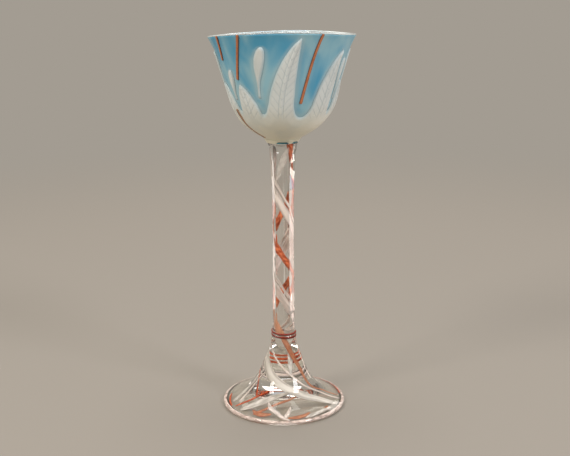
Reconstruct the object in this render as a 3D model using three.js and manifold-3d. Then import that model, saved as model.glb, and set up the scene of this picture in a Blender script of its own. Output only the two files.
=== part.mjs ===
// Liqueur glass: a cased bowl with a cut white layer, a faceted stem with three twisted
// strands, and a trumpet foot with strands laid in it.
// Millimetres, +Z up. The origin is on the table, under the middle of the foot.

import * as THREE from 'three';
import { mergeVertices } from 'three/addons/utils/BufferGeometryUtils.js';
import Module from 'manifold-3d';

const wasm = await Module();
wasm.setup();

// Room left between two pieces of glass that lie in or on each other.
const fitGap = 0.3;

// Foot and bell, from the table to the joint with the stem.
const footRadius = 25.9;
const footHeight = 30.9;
const footEdgeHeight = 2.1;
const footEdgeRound = 0.95;
const contactRingOuter = 24.6;
const contactRingInner = 23.2;
const kickHeight = 5.8;
const neckRadius = 5.2;
const waistRadius = 4.3;
const waistReach = 2.1;

// Stem, from the foot to the wafer. Five flat faces, with round ends.
const stemLength = 81.1;
const stemFootRadius = 5.0;
const stemMidRadius = 4.7;
const stemTopRadius = 6.3;
const facetCount = 5;
const facetTurn = 266;

// How near the stem's axis its strands reach.
const strandDepthRadius = 3.0;

// Thread wound round the joint of stem and foot.
const jointThreadHalf = 0.5;
const jointThreadThickness = 0.85;
const jointThreadTurns = 1.9;

// Wafer between the stem and the bowl.
const waferRadius = 6.5;
const waferThickness = 0.7;
const waferRound = 0.25;

// Bowl. The outline is the outer face of the blue layer, up to the underside of the lip.
const bowlHeight = 43.7;
const bowlFootRadius = 6.2;
const bowlShoulderRadius = 20.2;
const bowlShoulderHeight = 15.4;
const bowlNeckRadius = 28.9;
const lipHeight = 1.3;
const lipOverhang = 0.4;
const lipRound = 0.48;
const blueThickness = 0.6;
const cupThickness = 1.0;
const cupFloorThickness = 2.6;
const whiteThickness = 0.5;
const whiteStart = 0.8;
const whiteReach = 16.5;
const leafHalf = 4.5;
const leafCrown = 0.3;
const rootFlare = 2.6;
const rootOverlap = 2.5;
const budHalf = 1.9;
const stalkHalf = 0.45;
const threadHalf = 0.55;
const lowThreadHalf = 0.45;
const threadThickness = 0.6;

// Strands laid in the foot.
const laidDepth = 0.5;
const wideStrandHalf = 1.6;
const thinStrandHalf = 0.45;
const caneHalf = 1.1;

// How finely round shapes are cut.
const bowlSegments = 32;
const footSegments = 36;
const facetSteps = 4;

const degree = Math.PI / 180;

const stemBottom = footHeight;
const stemTop = stemBottom + stemLength;
const bowlBottom = stemTop + waferThickness;
const bowlTop = bowlBottom + bowlHeight;
const neckHeight = footHeight - waistReach;
const whiteBottomLift = fitGap;
const whiteTopLift = fitGap + whiteThickness;
const lipRadius = bowlNeckRadius + lipOverhang;

// Turn a closed triangle list right side out, by the sign of the volume it holds.
function faceOutward(geometry) {
  const places = geometry.getAttribute('position');
  const index = Array.from(geometry.getIndex().array);
  const corner = (i) => new THREE.Vector3().fromBufferAttribute(places, i);
  let volume = 0;
  for (let i = 0; i < index.length; i += 3) {
    const [a, b, c] = [corner(index[i]), corner(index[i + 1]), corner(index[i + 2])];
    volume += a.dot(b.cross(c));
  }
  if (volume < 0) {
    for (let i = 0; i < index.length; i += 3) {
      [index[i + 1], index[i + 2]] = [index[i + 2], index[i + 1]];
    }
  }
  geometry.setIndex(index);
  return geometry;
}

// Merge equal corners and drop the triangles that close up at an axis.
function closedGeometry(geometry) {
  geometry.deleteAttribute('normal');
  geometry.deleteAttribute('uv');
  const merged = mergeVertices(geometry, 1e-4);
  const index = merged.getIndex().array;
  const kept = [];
  for (let i = 0; i < index.length; i += 3) {
    const [a, b, c] = [index[i], index[i + 1], index[i + 2]];
    if (a !== b && b !== c && c !== a) kept.push(a, b, c);
  }
  merged.setIndex(kept);
  return faceOutward(merged);
}

// Spin a profile of (radius, height) points round the upright axis.
function turned(profile, segments) {
  const points = profile.map(([radius, height]) => new THREE.Vector2(radius, height));
  const geometry = new THREE.LatheGeometry(points, segments);
  geometry.rotateX(90 * degree);
  return closedGeometry(geometry);
}

// Join rings of equal, even point counts into one skin. Each end is closed by a strip from
// one half of its ring to the other.
function skinned(rings) {
  const sides = rings[0].length;
  const end = (rings.length - 1) * sides;
  const faces = [];
  for (let here = 0; here < end; here += sides) {
    const next = here + sides;
    for (let j = 0; j < sides; j += 1) {
      const k = (j + 1) % sides;
      faces.push(here + j, here + k, next + k, here + j, next + k, next + j);
    }
  }
  for (let j = 0; j < sides / 2 - 1; j += 1) {
    const [a, b, c, d] = [j, j + 1, sides - 2 - j, sides - 1 - j];
    faces.push(a, c, b, a, d, c, end + a, end + b, end + c, end + a, end + c, end + d);
  }
  const geometry = new THREE.BufferGeometry().setFromPoints(rings.flat());
  geometry.setIndex(faces);
  return faceOutward(geometry);
}

// Hand a closed geometry to the boolean library, and take one back.
function solid(geometry) {
  return new wasm.Manifold(new wasm.Mesh({
    numProp: 3,
    vertProperties: new Float32Array(geometry.getAttribute('position').array),
    triVerts: new Uint32Array(geometry.getIndex().array),
  }));
}

function geometryOf(manifold) {
  const mesh = manifold.getMesh();
  const geometry = new THREE.BufferGeometry();
  geometry.setAttribute('position', new THREE.BufferAttribute(mesh.vertProperties, 3));
  geometry.setIndex(Array.from(mesh.triVerts));
  return geometry;
}

function joined(solids) {
  return solids.reduce((sum, next) => sum.add(next));
}

function without(body, cutters) {
  return cutters.reduce((rest, cutter) => rest.subtract(cutter), body);
}

// A place round the upright axis. Angles are in degrees, and 270 is the front.
function polar(radius, angle, height) {
  return new THREE.Vector3(
    radius * Math.cos(angle * degree), radius * Math.sin(angle * degree), height);
}

// A face of revolution. A place on it is its distance along the outline, its angle and
// its lift off the face, which is outward to the right of the outline's travel.
class TurnedFace {
  constructor(outline) {
    this.outline = outline;
    this.length = outline.getLength();
  }

  section(along, lift) {
    const share = THREE.MathUtils.clamp(along / this.length, 0, 1);
    const point = this.outline.getPointAt(share);
    const travel = this.outline.getTangentAt(share);
    return [point.x + lift * travel.y, point.y - lift * travel.x];
  }

  place(along, angle, lift) {
    const [radius, height] = this.section(along, lift);
    return polar(radius, angle, height);
  }

  // Points of the outline, set closer near its start by a crowding power over 1.
  profile(lift, count, { from = 0, to = this.length, crowding = 1 } = {}) {
    const points = [];
    for (let i = 0; i <= count; i += 1) {
      points.push(this.section(from + (to - from) * (i / count) ** crowding, lift));
    }
    return points;
  }
}

// A smooth path on a face through steps of [along, angle, half width].
function smoothPath(steps, count) {
  const curve = new THREE.CatmullRomCurve3(steps.map((step) => new THREE.Vector3(...step)));
  return curve.getPoints(count).map((p) => ({ along: p.x, angle: p.y, half: p.z }));
}

// The way a path goes at one step: along the face and round it, both per millimetre.
function heading(face, path, i) {
  const before = path[Math.max(i - 1, 0)];
  const after = path[Math.min(i + 1, path.length - 1)];
  const radius = face.section(path[i].along, 0)[0];
  const run = after.along - before.along;
  const turn = (after.angle - before.angle) * degree * radius;
  const stride = Math.hypot(run, turn);
  return { run: run / stride, turn: turn / stride, turnAngle: 1 / radius / degree };
}

// A ribbon of glass on a face, square to its path, from a low lift to a high one. The
// spread widens and lengthens it on every side.
function ribbon(face, path, low, high, { spread = 0, across = 2, crown = 0 } = {}) {
  const rings = path.map((step, i) => {
    const { run, turn, turnAngle } = heading(face, path, i);
    const reach = i === 0 ? -spread : i === path.length - 1 ? spread : 0;
    const half = step.half + spread;
    const put = (share, lift) => face.place(
      step.along + reach * run + share * half * turn,
      step.angle + (reach * turn - share * half * run) * turnAngle,
      lift,
    );
    const ring = [];
    for (let j = 0; j <= across; j += 1) ring.push(put(2 * j / across - 1, low));
    for (let j = across; j >= 0; j -= 1) {
      const share = 2 * j / across - 1;
      ring.push(put(share, high + crown * (1 - share * share)));
    }
    return ring;
  });
  return skinned(rings);
}

const glassGroup = new THREE.Group();

// Add a piece under its name, with its own material.
function addPiece(name, geometry, finish) {
  const material = new THREE.MeshStandardMaterial({ metalness: 0, ...finish });
  const mesh = new THREE.Mesh(geometry, material);
  mesh.name = name;
  glassGroup.add(mesh);
}

const clearGlass = { color: 0xdfe0dc, roughness: 0.04, transparent: true, opacity: 0.4 };
const milkGlass = { color: 0xc8c8c3, roughness: 0.35 };
const blueGlass = { color: 0x6496aa, roughness: 0.4 };
const orangeGlass = { color: 0xbe6e41, roughness: 0.25 };
const redGlass = { color: 0xcd5028, roughness: 0.15 };
const whiteStrand = { color: 0xd7cdc6, roughness: 0.15 };
const tealGlass = { color: 0x3c5f68, roughness: 0.15 };

// The bowl's outline, a tulip: it swells from the wafer to the shoulder, then opens out.
function bowlOutline() {
  const swell = bowlShoulderRadius - bowlFootRadius;
  const opening = bowlNeckRadius - bowlShoulderRadius;
  const rise = bowlHeight - lipHeight - bowlShoulderHeight;
  const at = (radius, height) => new THREE.Vector2(radius, bowlBottom + height);
  const outline = new THREE.CurvePath();
  outline.add(new THREE.CubicBezierCurve(
    at(bowlFootRadius, 0),
    at(bowlFootRadius + 0.06 * swell, 0.28 * bowlShoulderHeight),
    at(bowlFootRadius + 0.67 * swell, 0.24 * bowlShoulderHeight),
    at(bowlShoulderRadius, bowlShoulderHeight),
  ));
  outline.add(new THREE.CubicBezierCurve(
    at(bowlShoulderRadius, bowlShoulderHeight),
    at(bowlShoulderRadius + 0.29 * opening, bowlShoulderHeight + 0.25 * rise),
    at(bowlShoulderRadius + 0.60 * opening, bowlShoulderHeight + 0.76 * rise),
    at(bowlNeckRadius, bowlShoulderHeight + rise),
  ));
  return outline;
}

const bowlFace = new TurnedFace(bowlOutline());
const bowlSteps = 9;
const whiteSteps = 6;
const bowlCrowding = { crowding: 1.6 };

function bowlProfile(lift) {
  return bowlFace.profile(lift, bowlSteps, bowlCrowding);
}

// A profile kept off the floor under it, which it meets in a flat disc.
function aboveFloor(profile, floor) {
  return profile.map(([radius, height]) => [radius, Math.max(height, floor)]);
}

// The clear cup that holds the drink, with its floor and its rounded lip.
function bowlCup() {
  const underFloor = bowlBottom + blueThickness;
  const floor = underFloor + cupFloorThickness;
  const outerLift = -(blueThickness + fitGap);
  const innerLift = outerLift - cupThickness;
  const lipCentre = [lipRadius - lipRound, bowlTop - lipRound];
  const lip = [];
  for (let turn = -60; turn <= 180; turn += 48) {
    lip.push([
      lipCentre[0] + lipRound * Math.cos(turn * degree),
      lipCentre[1] + lipRound * Math.sin(turn * degree),
    ]);
  }
  return turned([
    [0, underFloor],
    ...aboveFloor(bowlProfile(outerLift), underFloor),
    ...lip,
    ...aboveFloor(bowlProfile(innerLift).reverse(), floor),
    [0, floor],
  ], bowlSegments);
}

// The blue layer round the cup, open at the top, its floor flat on the wafer.
function blueCasing() {
  const floor = bowlBottom + blueThickness;
  return turned([
    [0, bowlBottom],
    ...bowlProfile(0),
    ...aboveFloor(bowlProfile(-blueThickness).reverse(), floor),
    [0, floor],
  ], bowlSegments);
}

// Leaves of the white layer: the angle of the root and of the tip, the share of the way to
// the lip that the tip reaches, and the width against the usual one.
const leaves = [
  [233, 226, 0.60, 1.25],
  [268, 285, 0.97, 1.30],
  [316, 331, 0.87, 1.30],
  [352, 344, 0.62, 1.12],
  [32, 47, 0.92, 1.22],
  [70, 60, 0.64, 1.15],
  [113, 127, 0.93, 1.22],
  [158, 172, 0.88, 1.20],
  [204, 196, 0.60, 1.10],
];

// The blade widens at its root, so that two leaves meet in a round valley.
function leafPath(rootAngle, tipAngle, reach, width) {
  const root = whiteReach - rootOverlap;
  const tip = reach * bowlFace.length;
  return [0, 0.06, 0.13, 0.22, 0.36, 0.54, 0.72, 0.88, 1].map((t) => ({
    along: root + (tip - root) * t,
    angle: rootAngle + (tipAngle - rootAngle) * t * t,
    half: width * leafHalf * Math.max(1 - t, 0.01) ** 0.75 * (0.8 + 0.9 * t)
      + rootFlare * Math.max(1 - t / 0.3, 0) ** 2,
  }));
}

// The white layer: a bowl of its own round the lower part, with the leaves left standing.
function whiteOverlay() {
  const span = { from: whiteStart, to: whiteReach, ...bowlCrowding };
  const shell = turned([
    ...bowlFace.profile(whiteTopLift, whiteSteps, span),
    ...bowlFace.profile(whiteBottomLift, whiteSteps, span).reverse(),
    bowlFace.section(whiteStart, whiteTopLift),
  ], bowlSegments);
  const blades = leaves.map((leaf) => solid(ribbon(
    bowlFace, leafPath(...leaf), whiteBottomLift, whiteTopLift, { across: 3, crown: leafCrown })));
  return joined([solid(shell), ...blades]);
}

// Buds cut free of the rest of the white layer, each a drop on a thin stalk: the angle of
// the foot and of the tip, the shares of the way to the lip where these lie, and the width
// against the usual one.
const buds = [
  [247, 253, 0.50, 0.90, 1.15],
  [215, 215, 0.47, 0.71, 0.80],
  [336, 340, 0.47, 0.80, 0.85],
  [1, 5, 0.50, 0.88, 0.90],
  [51, 56, 0.48, 0.86, 1.00],
  [134, 139, 0.47, 0.79, 1.00],
  [178, 183, 0.50, 0.86, 0.95],
];

function budPath(footAngle, tipAngle, foot, tip, width) {
  const shape = [[0, 0], [0.22, 0], [0.4, 0.35], [0.6, 0.85], [0.77, 1], [0.92, 0.7], [1, 0]];
  return shape.map(([t, swell]) => ({
    along: bowlFace.length * (foot + (tip - foot) * t),
    angle: footAngle + (tipAngle - footAngle) * t * t,
    half: stalkHalf + (width * budHalf - stalkHalf) * swell,
  }));
}

// Orange threads down the blue layer: the angle under the lip and at the lower end, and
// the share of the way to the lip where the lower end lies.
const threads = [
  [236.2, 224, 0.635],
  [213, 206.7, 0.78],
  [301.6, 289.5, 0.45],
  [382, 372, 0.56],
  [96, 94, 0.50],
  [147, 143, 0.85],
];

function threadPath(topAngle, endAngle, endShare) {
  const top = bowlFace.length - fitGap;
  const end = endShare * bowlFace.length;
  return smoothPath([
    [top, topAngle, threadHalf],
    [(top + end) / 2, (topAngle + endAngle) / 2, threadHalf],
    [end, endAngle, threadHalf],
  ], 10);
}

// One thread shows low down too, in a slot through the white layer.
const lowThread = smoothPath([[0.40, 211], [0.23, 214], [0.067, 219]].map(
  ([share, angle]) => [share * bowlFace.length, angle, lowThreadHalf]), 8);

function buildBowl() {
  addPiece('bowl_cup', bowlCup(), { ...clearGlass, opacity: 0.7 });
  addPiece('bowl_blue_layer', blueCasing(), blueGlass);
  const slot = ribbon(bowlFace, lowThread, -0.1, whiteTopLift + 1, { spread: fitGap });
  addPiece('bowl_white_layer', geometryOf(whiteOverlay().subtract(solid(slot))), milkGlass);
  buds.forEach((bud, i) => {
    addPiece(`white_bud_${i + 1}`, ribbon(
      bowlFace, budPath(...bud), whiteBottomLift, whiteTopLift, { crown: leafCrown }), milkGlass);
  });
  const low = fitGap;
  const high = fitGap + threadThickness;
  threads.forEach((place, i) => {
    addPiece(`orange_thread_${i + 1}`, ribbon(bowlFace, threadPath(...place), low, high),
      orangeGlass);
  });
  addPiece('low_thread', ribbon(bowlFace, lowThread, low, high), orangeGlass);
}

// The wafer is a thin disc of darker blue glass with a rounded rim.
function buildWafer() {
  addPiece('bowl_wafer', turned([
    [0, stemTop],
    [waferRadius - waferRound, stemTop],
    [waferRadius, stemTop + waferRound],
    [waferRadius, bowlBottom - waferRound],
    [waferRadius - waferRound, bowlBottom],
    [0, bowlBottom],
  ], bowlSegments), tealGlass);
}

// Radius of the stem, corner to corner, at a share of its length.
function stemRadius(share) {
  const low = Math.max(1 - share / 0.45, 0) ** 1.5;
  const high = Math.max((share - 0.6) / 0.4, 0) ** 2.4;
  return stemMidRadius + (stemFootRadius - stemMidRadius) * low
    + (stemTopRadius - stemMidRadius) * high;
}

// A ring that goes from round, at 0, to five flat sides, at 1.
function stemRing(radius, facetShare, height) {
  const ring = [];
  const side = 360 / facetCount;
  const flat = radius * Math.cos(side / 2 * degree);
  const round = radius * (1 - 0.06 * facetShare);
  for (let i = 0; i < facetCount * facetSteps; i += 1) {
    const turn = i * side / facetSteps;
    const offFace = turn % side - side / 2;
    const sided = flat / Math.cos(offFace * degree);
    const reach = round + (sided - round) * facetShare;
    ring.push(polar(reach, facetTurn - side / 2 + turn, height));
  }
  return ring;
}

function stemBlank() {
  const waistTop = stemBottom + waistReach;
  const shoulder = waistTop + fitGap;
  const rest = stemTop - shoulder;
  const rings = [
    stemRing(waistRadius, 0, stemBottom),
    stemRing(waistRadius, 0, waistTop),
  ];
  const levels = [
    [0, 0.3], [0.03, 0.7], [0.08, 1], [0.2, 1], [0.45, 1], [0.65, 1], [0.76, 1],
    [0.84, 1], [0.9, 1], [0.945, 0.9], [0.98, 0.5], [1, 0],
  ];
  for (const [share, facetShare] of levels) {
    rings.push(stemRing(stemRadius(share), facetShare, shoulder + rest * share));
  }
  return solid(skinned(rings));
}

// The stem's strands, in steps of [height, angle, half the width round the axis in degrees].
// They twist fast below, and slow down and thin out near the bowl.
const stemStrands = [
  ['stem_white_band', whiteStrand, [
    [30.9, 782, 28], [46.1, 631, 28], [88, 246, 28], [96, 184, 25], [101.5, 154, 22],
    [112, 127, 18]]],
  ['stem_white_line', whiteStrand, [
    [30.9, 830, 9], [50.9, 632, 9], [88, 291, 9], [96, 229, 9], [101.5, 199, 8],
    [112, 172, 7]]],
  ['stem_red_cane', redGlass, [
    [30.9, 982, 24], [49.5, 810, 24], [64.8, 630, 24], [82.9, 450, 24], [101.5, 325, 16],
    [112, 289, 11]]],
];

// A strand's angle and half width at a height, on straight lines through its steps.
function strandAt(steps, height) {
  const above = steps.findIndex(([level]) => level >= height);
  const next = above < 0 ? steps.length - 1 : Math.max(above, 1);
  const [low, high] = [steps[next - 1], steps[next]];
  const share = (height - low[0]) / (high[0] - low[0]);
  return [1, 2].map((i) => THREE.MathUtils.lerp(low[i], high[i], share));
}

// A strand sweeps up the stem, cut from a pie slice with its point taken off.
function strandSweep(strandSteps, spread) {
  const inner = strandDepthRadius - spread;
  const extraHalf = spread / stemMidRadius / degree;
  const steps = 24;
  const across = 2;
  const rings = [];
  for (let i = 0; i <= steps; i += 1) {
    const height = stemBottom - fitGap + (stemLength + 2 * fitGap) * i / steps;
    const [middle, half] = strandAt(strandSteps, height);
    const outer = stemRadius(i / steps) + 1.2;
    const ring = [];
    for (let j = 0; j <= across; j += 1) {
      const share = 2 * j / across - 1;
      ring.push(polar(inner, middle + share * (half + extraHalf), height));
    }
    for (let j = across; j >= 0; j -= 1) {
      const share = 2 * j / across - 1;
      ring.push(polar(outer, middle + share * (half + extraHalf), height));
    }
    rings.push(ring);
  }
  return solid(skinned(rings));
}

function buildStem() {
  const blank = stemBlank();
  const grooves = stemStrands.map(([, , strandSteps]) => strandSweep(strandSteps, fitGap));
  addPiece('stem_shaft', geometryOf(without(blank, grooves)), clearGlass);
  for (const [name, finish, strandSteps] of stemStrands) {
    addPiece(name, geometryOf(blank.intersect(strandSweep(strandSteps, 0))), finish);
  }
}

// The foot's upper face, from the rim up to the neck, through shares of its span and rise.
function footOutline() {
  const span = footRadius - footEdgeRound - neckRadius;
  const rise = neckHeight - footEdgeHeight;
  const shares = [
    [1, 0], [0.83, 0.045], [0.64, 0.115], [0.44, 0.23],
    [0.27, 0.43], [0.135, 0.67], [0.03, 0.87], [0, 1],
  ];
  return new THREE.SplineCurve(shares.map(([out, up]) => new THREE.Vector2(
    neckRadius + span * out, footEdgeHeight + rise * up)));
}

// The hollow under the foot, from the middle out to the contact ring.
function kickOutline() {
  const shares = [[0, 1], [0.35, 0.86], [0.72, 0.4], [1, 0]];
  return new THREE.SplineCurve(shares.map(([out, up]) => new THREE.Vector2(
    contactRingInner * out, kickHeight * up)));
}

const footFace = new TurnedFace(footOutline());
const kickFace = new TurnedFace(kickOutline());

function footBlank() {
  const edgeX = footRadius - footEdgeRound;
  const edgeY = footEdgeHeight - footEdgeRound;
  const edge = [60, 25, -10, -45].map((turn) => [
    edgeX + footEdgeRound * Math.cos(turn * degree),
    edgeY + footEdgeRound * Math.sin(turn * degree),
  ]);
  return solid(turned([
    [0, footHeight],
    [waistRadius, footHeight],
    [waistRadius, neckHeight],
    ...footFace.profile(0, 10).reverse(),
    ...edge,
    [contactRingOuter, 0],
    ...kickFace.profile(0, 5).reverse(),
  ], footSegments));
}

// Strands laid in the upper face, each going on from a strand of the stem: half the usual
// width, then steps of [share of the way from neck to rim, angle, width against the usual].
const upperStrands = [
  ['foot_white_band', whiteStrand, wideStrandHalf, [
    [0.03, 118, 0.8], [0.09, 150, 1.0], [0.17, 180, 1.2], [0.4, 233, 1.25],
    [0.54, 272, 1.15], [0.63, 297, 1.1], [0.78, 325, 1.05], [0.975, 341, 1.0]]],
  ['foot_white_line', whiteStrand, thinStrandHalf, [
    [0.03, 165, 0.9], [0.09, 201, 0.9], [0.177, 233, 0.9], [0.39, 285, 1.1],
    [0.54, 311, 1.1], [0.71, 339, 1.1], [0.975, 352, 1.1]]],
  ['foot_orange_cane', orangeGlass, caneHalf, [
    [0.03, 282, 1.05], [0.12, 297, 1], [0.34, 319, 0.8], [0.56, 329, 0.55],
    [0.66, 341, 0.42], [0.75, 352, 0.4], [0.95, 359, 0.4]]],
];

// Strands laid in the hollow face, with steps of [share of the way out, angle, width].
const lowerStrands = [
  ['under_white_band', whiteStrand, wideStrandHalf, [
    [0.28, 283, 0.65], [0.39, 254, 0.9], [0.58, 234, 1.1], [0.78, 223, 1.15],
    [0.96, 216.5, 1.0]]],
  ['under_red_line', redGlass, thinStrandHalf, [
    [0.25, 226, 0.9], [0.43, 220, 0.9], [0.6, 215, 0.9], [0.81, 209, 0.9], [0.96, 206, 0.9]]],
  ['under_orange_line', orangeGlass, thinStrandHalf, [
    [0.42, 300, 1], [0.49, 280, 1.1], [0.6, 258, 1.3], [0.79, 243, 1.5], [0.94, 235, 1.9]]],
];

function buildFoot() {
  const blank = footBlank();
  const grooves = [];
  const laid = [];
  const clearOfFace = fitGap;
  const lay = (face, alongOf, places, [name, finish, usual, steps]) => {
    const path = smoothPath(steps.map(
      ([share, angle, width]) => [alongOf(share), angle, width * usual]), places);
    const cut = ribbon(face, path, -laidDepth - fitGap, clearOfFace, { spread: fitGap });
    grooves.push(solid(cut));
    laid.push([name, solid(ribbon(face, path, -laidDepth, clearOfFace)), finish]);
  };
  upperStrands.forEach((strand) => lay(
    footFace, (share) => footFace.length * (1 - share), 18, strand));
  lowerStrands.forEach((strand) => lay(
    kickFace, (share) => kickFace.length * share, 6, strand));
  addPiece('foot_bell', geometryOf(without(blank, grooves)), clearGlass);
  for (const [name, strand, finish] of laid) {
    addPiece(name, geometryOf(strand.intersect(blank)), finish);
  }
}

// The thread wound round the waist where stem and foot meet, in one unbroken run.
function buildJointThread() {
  const waistTop = stemBottom + waistReach;
  const waist = new TurnedFace(new THREE.LineCurve(
    new THREE.Vector2(waistRadius, neckHeight),
    new THREE.Vector2(waistRadius, waistTop),
  ));
  const inset = jointThreadHalf + fitGap;
  const count = Math.round(14 * jointThreadTurns);
  const path = [];
  for (let i = 0; i <= count; i += 1) {
    path.push({
      along: waist.length - inset - (waist.length - 2 * inset) * i / count,
      angle: 100 + 360 * jointThreadTurns * i / count,
      half: jointThreadHalf,
    });
  }
  addPiece('joint_thread', ribbon(waist, path, fitGap, fitGap + jointThreadThickness),
    redGlass);
}

buildFoot();
buildJointThread();
buildStem();
buildWafer();
buildBowl();

export default glassGroup;
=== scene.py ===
from bisect import bisect_right
from math import atan2, copysign, cos, degrees, exp, hypot, pi, radians, sin, sqrt, tau

import bmesh
import bpy
from mathutils import Euler, Matrix, Vector, noise
from mathutils.geometry import interpolate_bezier


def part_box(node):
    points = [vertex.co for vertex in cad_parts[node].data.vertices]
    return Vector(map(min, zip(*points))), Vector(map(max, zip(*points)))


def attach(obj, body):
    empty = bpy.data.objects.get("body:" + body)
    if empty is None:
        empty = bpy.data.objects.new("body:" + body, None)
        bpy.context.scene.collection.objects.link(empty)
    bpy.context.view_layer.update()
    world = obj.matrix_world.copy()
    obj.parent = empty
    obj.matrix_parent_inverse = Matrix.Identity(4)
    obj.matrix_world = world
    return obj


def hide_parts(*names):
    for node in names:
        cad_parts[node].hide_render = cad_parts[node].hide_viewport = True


# Liqueur glass: a layered bowl with a cut white relief, a five-sided clear stem with three
# twisted strands, and a clear trumpet foot with strands in it. The glass is measured in
# millimetres until finishPiece turns them into metres. Camera and stage are in metres.
# Angles are in degrees, and 270 is the front.
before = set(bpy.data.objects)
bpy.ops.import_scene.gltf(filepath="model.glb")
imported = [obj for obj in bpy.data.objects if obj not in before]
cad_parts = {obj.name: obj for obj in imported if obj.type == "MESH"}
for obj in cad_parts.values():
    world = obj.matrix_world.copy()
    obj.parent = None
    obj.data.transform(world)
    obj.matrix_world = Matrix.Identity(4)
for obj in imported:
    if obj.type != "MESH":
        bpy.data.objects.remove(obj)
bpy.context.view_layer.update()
mm = 0.001


def nodeBox(name):  # lowest and highest corner of a CAD node, in millimetres
    low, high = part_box(name)
    return low / mm, high / mm


def linearColour(code):  # an sRGB hex code as linear red, green, blue and alpha
    parts = [int(code[i:i + 2], 16) / 255 for i in (0, 2, 4)]
    return [p / 12.92 if p <= 0.04045 else ((p + 0.055) / 1.055) ** 2.4 for p in parts] + [1]


def blendStep(low, high, value):
    share = min(max((value - low) / (high - low), 0.0), 1.0)
    return share * share * (3 - 2 * share)


def polar(radius, angle, height):
    turn = radians(angle)
    return Vector((radius * cos(turn), radius * sin(turn), height))


def between(rows, value):  # straight lines through rows of (value, result)
    i = min(max(bisect_right([row[0] for row in rows], value), 1), len(rows) - 1)
    (a, fromA), (b, toB) = rows[i - 1], rows[i]
    return fromA + (toB - fromA) * min(max((value - a) / (b - a), 0.0), 1.0)


def arc(centre, across, up, turns):  # points of (radius, height) round a centre
    return [(centre[0] + across * cos(radians(turn)),
             centre[1] + up * sin(radians(turn))) for turn in turns]


def blunted(wave, power):  # a wave from -1 to 1 with flatter tops, for tubes with squarer sides
    return copysign(abs(wave) ** power, wave)


def roundEnd(near):  # how full a tube is at its rounded end: 0 at the end, 1 from 1 on
    return sqrt(1 - (1 - min(near, 1.0)) ** 2)


def curveThrough(points, steps):  # a smooth line through points, steps per span
    points, line = [Vector(point) for point in points], []
    for i in range(len(points) - 1):
        a = points[max(i - 1, 0)]
        b, c = points[i], points[i + 1]
        d = points[min(i + 2, len(points) - 1)]
        for j in range(steps):
            t = j / steps
            line.append(0.5 * (2 * b + (c - a) * t + (2 * a - 5 * b + 4 * c - d) * t ** 2
                               + (3 * b - a - 3 * c + d) * t ** 3))
    return line + [points[-1]]


class TurnedFace:
    # A face of revolution. A place on it is its distance along the outline, its angle, and
    # its lift off the face, to the right of the outline's travel.
    def __init__(self, outline):
        self.outline = outline
        self.reached = [0.0]
        for a, b in zip(outline, outline[1:]):
            self.reached.append(self.reached[-1] + (b - a).length)
        self.length = self.reached[-1]
        last = len(outline) - 1
        self.travel = [(outline[min(i + 1, last)] - outline[max(i - 1, 0)]).normalized()
                       for i in range(last + 1)]

    def section(self, along, lift=0.0):
        along = min(max(along, 0.0), self.length)
        i = min(max(bisect_right(self.reached, along), 1), len(self.outline) - 1)
        part = (along - self.reached[i - 1]) / (self.reached[i] - self.reached[i - 1])
        point = self.outline[i - 1].lerp(self.outline[i], part)
        travel = self.travel[i - 1].lerp(self.travel[i], part)
        return point.x + lift * travel.y, point.y - lift * travel.x

    def radius(self, along):
        return self.section(along)[0]

    def place(self, along, angle, lift=0.0):
        radius, height = self.section(along, lift)
        return polar(radius, angle, height)

    def profile(self, lift, count):
        return [self.section(self.length * i / count, lift) for i in range(count + 1)]


# Mesh tools

def spun(profile, segments):  # a profile of (radius, height), from axis to axis, turned full round
    bm = bmesh.new()
    verts = [bm.verts.new((max(radius, 0.0), 0, height)) for radius, height in profile]
    edges = [bm.edges.new(pair) for pair in zip(verts, verts[1:])]
    bmesh.ops.spin(bm, geom=verts + edges, cent=(0, 0, 0), axis=(0, 0, 1),
                   angle=tau, steps=segments, use_merge=True)
    return cleaned(bm)


def cleaned(bm):
    bmesh.ops.remove_doubles(bm, verts=bm.verts, dist=0.0005)
    bmesh.ops.dissolve_degenerate(bm, edges=bm.edges, dist=0.0002)
    bmesh.ops.recalc_face_normals(bm, faces=bm.faces)
    for face in bm.faces:
        face.smooth = True
    return bm


def wrappedTube(around, along, place, capSlot=None):
    # A grid rolled into a tube by place(share around, share along), with both ends closed.
    # Its UV map keeps the two shares. A cap slot gives the flat ends another material.
    bm = bmesh.new()
    bmesh.ops.create_grid(bm, x_segments=around, y_segments=along, size=0.5)
    uv = bm.loops.layers.uv.new("strand")
    for face in bm.faces:
        for loop in face.loops:
            loop[uv].uv = (loop.vert.co.x + 0.5, loop.vert.co.y + 0.5)
    for vert in bm.verts:
        vert.co = place(vert.co.x + 0.5, vert.co.y + 0.5)
    bmesh.ops.remove_doubles(bm, verts=bm.verts, dist=0.0005)
    rims = [edge for edge in bm.edges if edge.is_boundary]
    caps = bmesh.ops.holes_fill(bm, edges=rims, sides=0)["faces"]
    for face in bm.faces:
        face.smooth = True
    if capSlot is not None:
        for face in caps:
            face.smooth = False
            face.material_index = capSlot
    bmesh.ops.recalc_face_normals(bm, faces=bm.faces)
    return bm


def linkMesh(bm, name, materials):
    mesh = bpy.data.meshes.new(name)
    bm.to_mesh(mesh)
    bm.free()
    for material in materials:
        mesh.materials.append(material)
    piece = bpy.data.objects.new(name, mesh)
    bpy.context.scene.collection.objects.link(piece)
    return piece


def finishPiece(bm, name, materials, nodes):
    bmesh.ops.scale(bm, vec=(mm, mm, mm), verts=bm.verts)
    piece = linkMesh(bm, name, materials)
    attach(piece, "root")
    if nodes:
        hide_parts(*nodes)


# Material tools

usualSettings = {"MapRange": {"interpolation_type": "SMOOTHSTEP"}, "Mix": {"data_type": "RGBA"}}
# Sockets of a Mix node for colours: the factor, the two colours and the result
mixFactor, mixA, mixB, mixResult = 0, 6, 7, 2


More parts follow.
